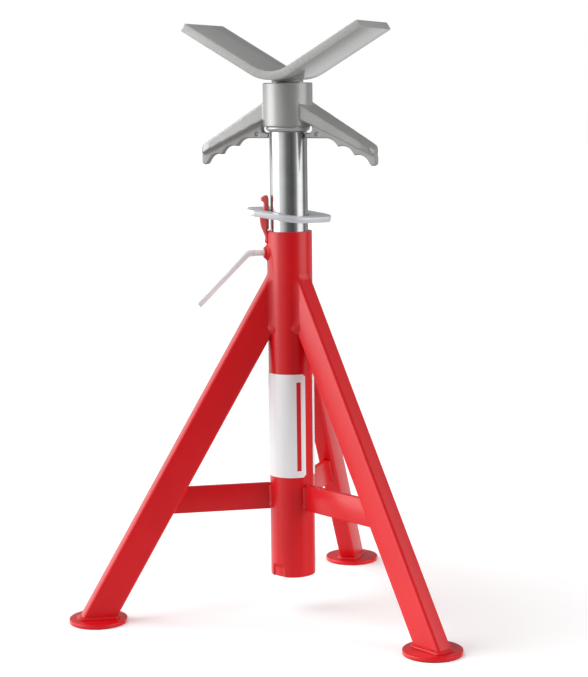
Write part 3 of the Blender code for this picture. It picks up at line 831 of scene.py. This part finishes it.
# Clamp screw
# A plated rod with a thread on its inner end, bent down to a handle. It presses a brass pad on
# to the column, which stops the column from turning and sliding.
PAD_END = 0.0240
CLAMP_ROD = 0.0038
ROD_START = PAD_END + GAP
ROD_CORNER, ROD_BEND = 0.0474, 0.010
ROD_TIP = (0.104, 0.356)
ROD_STEP = 0.00025
TIP_SLOPE, TIP_ROUND = 0.0012, 0.0009
START_STEPS, START_ROUND = 4, 0.0006
ROD_PITCH = 0.00125
THREAD_END, THREAD_FADE, THREAD_LONG = 0.0405, 0.0012, 0.0175
THREAD_DEPTH, FLANK_SLOPE = 0.0005, 1.6


def evenly(path, gap):
    """A path's points again, at equal distances along it."""
    lengths = [(second - first).length for first, second in zip(path, path[1:])]
    count = round(sum(lengths) / gap)
    spots, index, passed = [], 0, 0.0
    for step in range(count + 1):
        goal = sum(lengths) * step / count
        while index < len(lengths) - 1 and passed + lengths[index] < goal:
            passed += lengths[index]
            index += 1
        spots.append(path[index].lerp(path[index + 1], (goal - passed) / lengths[index]))
    return spots


def bent_rod(sides=48):
    """The rod, square to its bent route all along, its thread drawn as a V-shaped groove."""
    bends = [(ROD_START, BOSS_HEIGHT, 0), (ROD_CORNER, BOSS_HEIGHT, ROD_BEND), (*ROD_TIP, 0)]
    route = evenly([Vector((x, 0, z)) for x, z in filleted(bends, 24)], ROD_STEP)
    bm = bmesh.new()
    rings = []
    total = len(route)
    for index, spot in enumerate(route):
        before, after = route[max(index - 1, 0)], route[min(index + 1, total - 1)]
        along = (after - before).normalized()
        aside = Vector((0, 1, 0))
        other = along.cross(aside)
        from_start, from_tip = index * ROD_STEP, (total - 1 - index) * ROD_STEP
        size = CLAMP_ROD - TIP_ROUND * max(0.0, 1 - from_tip / TIP_SLOPE) ** 2
        size -= START_ROUND * max(0.0, 1 - index / START_STEPS)
        threaded = 0.0
        if from_start < THREAD_LONG:
            threaded = min(1.0, max(0.0, (THREAD_END - spot.x) / THREAD_FADE))
        ring = []
        for side in range(sides):
            a = 2 * math.pi * side / sides
            phase = (from_start / ROD_PITCH - side / sides) % 1
            deep = THREAD_DEPTH * threaded * (1 - abs(2 * phase - 1)) * FLANK_SLOPE
            reach = size - min(deep, THREAD_DEPTH * threaded)
            ring.append(bm.verts.new(spot + (aside * math.cos(a) + other * math.sin(a)) * reach))
        rings.append(ring)
    skin(bm, rings, False)
    return bm


ROD_ZINC = zinc_plating("rod zinc", (0.95, 0.945, 0.945), 0.26, (1, 1, 0.2), 0.28)
rod = as_object(bent_rod(), "clamp_rod", ROD_ZINC, ON_LEFT, 40)
fit(rod, "clamp_handle", "bright_zinc", "clamp_screw")


def spun_brass():
    """Plain brass with the rings of the lathe on it."""
    finish = Finish("pad brass", Metallic=1.0)
    rings = finish.noise(1200, 2, (0.2, 1, 1))
    finish.set("Base Color", rings.tint((0.56, 0.38, 0.13), (0.68, 0.48, 0.19)))
    finish.set("Roughness", 0.28 + rings * 0.15)
    return finish.material


pad_profile = [(0.0002, 0.0214), (0.0034, 0.0214), (0.0037, 0.0217), (0.0037, 0.0237), (0.0034, PAD_END),
               (0.0002, PAD_END)]
pad = as_object(turned(pad_profile, 64), "clamp_pad_slug", spun_brass(), LYING_OUT)
fit(pad, "clamp_push", "brass", "clamp_pad")

# Column
# A zinc plated 1-1/4 inch pipe that slides in the upright tube with 0.6 mm to spare all round. It is
# drawn lengthwise, which leaves faint lines, and sawn and deburred at both ends.
COLUMN_RADIUS, COLUMN_BORE = 0.0211, 0.0185
COLUMN_LOW, COLUMN_HIGH = 0.125, 0.547

column_profile = round_over(COLUMN_RADIUS, COLUMN_LOW, 0.0007, -1)
column_profile += [(COLUMN_RADIUS, 0.2), (COLUMN_RADIUS, 0.3), (COLUMN_RADIUS, 0.4)]
column_profile += round_over(COLUMN_RADIUS, COLUMN_HIGH, 0.0005, 1)
column_profile += [(COLUMN_BORE, COLUMN_HIGH), (COLUMN_BORE, COLUMN_LOW)]
COLUMN_ZINC = zinc_plating("column zinc", (0.64, 0.645, 0.65), 0.12, (1, 1, 0.04))
column = as_object(turned(column_profile, 192), "column_pipe", COLUMN_ZINC, about_column(0))
fit(column, "column", "bright_zinc", "inner_tube")

# Thrust bush
# A turned and plated steel bush that hangs loose in the column's top. Its flange, well rounded
# underneath, carries the nut and lets it turn.
BUSH_BORE, BUSH_SPIGOT, BUSH_FLANGE = 0.0134, 0.0181, 0.0245
BUSH_LOW, BUSH_TOP = 0.527, 0.5522

flange_low = COLUMN_HIGH + GAP
bush_profile = [(BUSH_BORE, BUSH_LOW), (BUSH_SPIGOT - 0.0005, BUSH_LOW), (BUSH_SPIGOT, BUSH_LOW + 0.0005),
                (BUSH_SPIGOT, flange_low)]
bush_profile += round_over(BUSH_FLANGE, flange_low, 0.0038, -1, 10)
bush_profile += round_over(BUSH_FLANGE, BUSH_TOP, 0.0005, 1) + [(BUSH_BORE, BUSH_TOP)]
bush = as_object(turned(bush_profile, 192), "bush_turned",
                 zinc_plating("bush zinc", (0.80, 0.80, 0.80), 0.34, (1, 1, 0.05), 0.8), about_column(0))
fit(bush, "bush", "bright_zinc", "thrust_bush")

# Hand nut
# One iron casting, painted grey: a round hub with the nut's thread inside, and two arms of a broad
# sloping rail on a thin rib. The rib is scalloped for the fingers and ends in a small knob.
HUB_RADIUS = 0.0276
HUB_LOW, HUB_HIGH = BUSH_TOP + GAP, 0.6007
NUT_BORE = 0.0130
NUT_TURN = -6.7
RIB_HALF = 0.004
RIB_FOOT = 0.0227
CAST_SKIN = 0.0008
CAST_SMOOTH, CAST_PASSES = 0.5, 7

# A dimple in each side of a rib: its distance from the hub's middle, height, radius and depth.
DIMPLE = (0.0370, 0.5440, 0.0022, 0.0015)

# An arm's rail by the distance from the hub's middle: the heights of its top and its underside, how
# much higher one side of its top lies than the other, and half its width. Its tip is rounded off.
ARM_TOP = ((0.010, 0.5846), (0.1025, 0.5308))
ARM_LOW = ((0.010, 0.5663), (0.1025, 0.5227))
ARM_SLANT = ((0.010, 0.0024), (0.1025, 0.0012))
ARM_HALF_WIDTHS = ((0.010, 0.0170), (0.050, 0.0152), (0.094, 0.0126), (0.1025, 0.0108), (0.1062, 0.0065))
ARM_TIP, TIP_SAG = 0.105, 0.0012


def grey_coat(name, grain, colour, metal, clear, rough, torn_from=None):
    """Grey machine paint: glossy over rolled plate, with the sand's grain over a casting.

    Over a plate's sheared ends, which start at torn_from from its middle, it is lighter and pitted.
    """
    finish = Finish(name, Metallic=metal, Coat_Weight=clear, Coat_Roughness=0.05)
    clouds = finish.noise(35, 3)
    sand = finish.noise(700, 4, rough=0.6)
    peel = finish.noise(330, 2)
    paint = clouds.above(0.5, 0.5).tint(shade(colour, 0.93), shade(colour, 1.05))
    layers = [(peel, 0.05), (sand, grain)]
    if torn_from:
        x, y, z = finish.place.parts()
        torn = finish.start.sum("ABSOLUTE", y - COLUMN.y).above(torn_from, 0.0004)
        pits = finish.noise(430, 4, rough=0.7)
        paint = (torn * pits.above(0.42, 0.5)).tint(paint, shade(colour, 1.35))
        layers.append((pits * torn, 0.30))
    finish.set("Base Color", paint)
    finish.set("Roughness", rough + clouds * 0.08 + sand * 0.06)
    finish.height_from(*layers)
    return finish.material


def on_line(ends, distance):
    """The value at a distance on the straight line through two ends of (distance, value)."""
    (x0, z0), (x1, z1) = ends
    return z0 + (z1 - z0) * (distance - x0) / (x1 - x0)


def arm_rail():
    bm = bmesh.new()
    rings = []
    for distance, half in ARM_HALF_WIDTHS:
        sag = TIP_SAG if distance > ARM_TIP else 0
        top, low = on_line(ARM_TOP, distance) - sag, on_line(ARM_LOW, distance) + sag
        corners = ((half, low), (half, top + on_line(ARM_SLANT, distance)), (-half, top), (-half, low))
        rings.append([bm.verts.new((distance, y, z)) for y, z in corners])
    skin(bm, rings, False)
    return bm


def arm_rib(steps=8):
    cusps = ((0.0485, 0.5395), (0.0620, 0.5303), (0.0814, 0.5208), (0.0992, 0.5128))
    outline = [(0.020, 0.572), (0.020, 0.5565), (0.0300, 0.5545), (0.0312, 0.5495), (0.0296, 0.5460),
               (RIB_FOOT, 0.5455), (RIB_FOOT, 0.5395)]
    for (x0, z0), (x1, z1), rise in zip(cusps, cusps[1:], (0.0022, 0.0046, 0.0040)):
        run = Vector((x1 - x0, z1 - z0))
        up = Vector((-run.y, run.x)).normalized()
        for step in range(steps):
            share = step / steps
            outline.append(tuple(Vector((x0, z0)) + run * share + up * rise * 4 * share * (1 - share)))
    outline.append(cusps[-1])
    outline += arc_points((0.1036, 0.5139), 0.0044, 195, 350, 8)
    outline += [(0.1077, 0.5205), (0.1040, 0.5268), (0.0950, 0.5310)]
    return rounded_plate(outline, 2 * RIB_HALF, 0.0003, 1)


def hand_nut():
    """The hub and arms run together, bored and dimpled, and softened as a sand casting is."""
    iron = grey_coat("cast grey", 0.03, (0.455, 0.455, 0.445), 0.5, 0.0, 0.24)
    drum = [(0.004, HUB_LOW), (HUB_RADIUS, HUB_LOW), (HUB_RADIUS, HUB_HIGH), (0.004, HUB_HIGH)]
    hub = as_object(turned(drum), "hand_nut", iron)
    arms, cutters = [], []
    x, z, radius, deep = DIMPLE
    pit = [(0.0002, -deep), (radius, -deep), (radius, deep), (0.0002, deep)]
    for turn in (0, 180):
        half_turn = Matrix.Rotation(math.radians(turn), 4, "Z")
        arms += [as_object(shape, "arm", iron, half_turn) for shape in (arm_rail(), arm_rib())]
        for side in (-1, 1):
            spot = half_turn @ Matrix.Translation((x, side * RIB_HALF, z))
            spot = spot @ Matrix.Rotation(math.pi / 2, 4, "X")
            cutters.append(as_object(turned(pit, 32), "dimple", iron, spot))
    bore = turned([(0.0001, 0.54), (NUT_BORE, 0.54), (NUT_BORE, 0.61), (0.0001, 0.61)], 96)
    cutters.append(as_object(bore, "bore", iron))
    settled(hub, arms, "UNION")
    settled(hub, cutters)
    remesh = hub.modifiers.new("cast skin", "REMESH")
    remesh.mode = "VOXEL"
    remesh.voxel_size = CAST_SKIN
    smooth = hub.modifiers.new("cast edges", "SMOOTH")
    smooth.factor, smooth.iterations = CAST_SMOOTH, CAST_PASSES
    settled(hub)
    hub.data.transform(about_column(NUT_TURN))
    hub.data.shade_smooth()
    return hub


fit(hand_nut(), "nut", "grey_paint", "handle_nut")

# V saddle
# Steel plate, 9.5 mm thick and 114 mm wide, bent cold to a V of 118 degrees and painted grey. The
# sheared edges are a little rolled over.
SEAT_ANGLE = math.radians(31.0)
SEAT_APEX = 0.6071
SEAT_HALF_SPAN = 0.0981
SEAT_THICK = 0.0095
SEAT_WIDTH = 0.1143
SEAT_BEND = 0.0365
OUTER_BEND = SEAT_BEND + SEAT_THICK
SEAT_UNDER = SEAT_APEX - SEAT_THICK / math.cos(SEAT_ANGLE)


def seat_outline():
    lean, drop = SEAT_THICK * math.sin(SEAT_ANGLE), SEAT_THICK * math.cos(SEAT_ANGLE)
    tip = SEAT_APEX + SEAT_HALF_SPAN * math.tan(SEAT_ANGLE)
    return filleted([
        (-SEAT_HALF_SPAN, tip, 0), (0, SEAT_APEX, SEAT_BEND), (SEAT_HALF_SPAN, tip, 0),
        (SEAT_HALF_SPAN + lean, tip - drop, 0), (0, SEAT_UNDER, OUTER_BEND),
        (-SEAT_HALF_SPAN - lean, tip - drop, 0)], 28)


PLATE_GREY = grey_coat("plate grey", 0.008, (0.46, 0.46, 0.45), 0.3, 1.0, 0.26, SEAT_WIDTH / 2 - 0.0007)
seat = rounded_plate(seat_outline(), SEAT_WIDTH, 0.0011, 4)
saddle = as_object(seat, "saddle_plate", PLATE_GREY, about_column(0))
fit(saddle, "saddle", "grey_paint", "v_saddle")

# Jack screw
# A 1 inch steel screw with a square-sided thread of 6.35 mm pitch. Its top is a plain round boss,
# welded under the saddle and painted with it. A collar on its lower end stops it in the nut.
SCREW_RADIUS, SCREW_ROOT = 0.0126, 0.0098
SCREW_PITCH = 0.00635
SCREW_LOW, SCREW_SHOULDER = 0.4132, 0.4230
GROOVE_HALF, GROOVE_FLANK = 0.36, 0.12
PIN_RADIUS = 0.006
BOSS_RADIUS = 0.0177
BOSS_LOW, BOSS_HIGH = HUB_HIGH + GAP, 0.606
SADDLE_WELD, SADDLE_STEPS = 0.0024, 186


def oiled_steel():
    """Oiled steel with the tool's turning lines, and grey paint on the boss above it."""
    finish = Finish("oiled steel", Metallic=1.0)
    painted = finish.place.parts()[2].above(BOSS_LOW - 0.0002, 0.0002)
    turning = finish.noise(1500, 2, (0.2, 0.2, 1))
    clouds = finish.noise(60, 3)
    bare = clouds.above(0.5, 0.5).tint((0.33, 0.33, 0.32), (0.45, 0.45, 0.44))
    finish.set("Base Color", painted.tint(bare, (0.30, 0.30, 0.295)))
    finish.set("Metallic", 1 - painted)
    finish.set("Roughness", 0.30 + clouds * 0.12 + turning * 0.06)
    finish.height_from((turning, 0.01))
    return finish.material


def threaded_shaft(sides=72, per_turn=10):
    """The screw from the pin to the boss, its thread drawn as a square-sided groove."""
    bm = bmesh.new()
    step = SCREW_PITCH / per_turn
    rows = int((BOSS_LOW - SCREW_SHOULDER) / step)
    pin = [(0.0002, SCREW_LOW), (PIN_RADIUS - 0.0005, SCREW_LOW), (PIN_RADIUS, SCREW_LOW + 0.0005),
           (PIN_RADIUS, SCREW_SHOULDER)]
    rings = [level_ring(bm, radius, height, sides) for radius, height in pin]
    for row in range(rows + 1):
        height = SCREW_SHOULDER + (BOSS_LOW - SCREW_SHOULDER) * row / rows
        fade = min(1.0, row / per_turn, (rows - row) / per_turn)
        ring = []
        for side in range(sides):
            a = 2 * math.pi * side / sides
            phase = ((height - SCREW_SHOULDER) / SCREW_PITCH - side / sides) % 1
            groove = min(1.0, max(0.0, (GROOVE_HALF - abs(phase - 0.5)) / GROOVE_FLANK))
            radius = SCREW_RADIUS - (SCREW_RADIUS - SCREW_ROOT) * groove * fade
            ring.append(bm.verts.new(polar(radius, a, height)))
        rings.append(ring)
    boss = [(BOSS_RADIUS - 0.0006, BOSS_LOW), (BOSS_RADIUS, BOSS_LOW + 0.0006), (BOSS_RADIUS, BOSS_HIGH),
            (0.0002, BOSS_HIGH)]
    rings += [level_ring(bm, radius, height, sides) for radius, height in boss]
    skin(bm, rings)
    return bm


def saddle_underside(x):
    """Height of the bent plate's lower face over a sideways distance from its middle."""
    if abs(x) < OUTER_BEND * math.sin(SEAT_ANGLE):
        centre = SEAT_UNDER + OUTER_BEND / math.cos(SEAT_ANGLE)
        return centre - math.sqrt(OUTER_BEND ** 2 - x ** 2)
    return SEAT_UNDER + abs(x) * math.tan(SEAT_ANGLE)


STEEL = oiled_steel()
screw = threaded_shaft()
for vert in screw.verts:
    if vert.co.z > BOSS_HIGH - 0.0005:
        vert.co.z = saddle_underside(vert.co.x) - GAP
fit(as_object(screw, "jack_screw_thread", STEEL, about_column(0)), "saddle", "plain_steel", "jack_screw")
spots = []
for step in range(SADDLE_STEPS):
    a = 2 * math.pi * step / SADDLE_STEPS
    around = Vector(polar(1, a, 0))
    root, toe = around * (BOSS_RADIUS - GAP), around * (BOSS_RADIUS + SADDLE_WELD)
    root.z, toe.z = saddle_underside(root.x) + TOE_SINK, saddle_underside(toe.x) + TOE_SINK
    spots.append((root, root + around * GAP - Vector((0, 0, SADDLE_WELD)), toe))
weld_on("saddle_weld", about_column(0), (spots,), finish=PLATE_GREY, body="saddle", slot="grey_paint")

collar = [(0.0063, 0.4147), (0.0160, 0.4147), (0.0165, 0.4152), (0.0165, 0.4222), (0.0160, 0.4227),
          (0.0063, 0.4227)]
stop = as_object(turned(collar, 96), "stop_collar", STEEL, about_column(0))
fit(stop, "saddle", "plain_steel", "screw_stop")
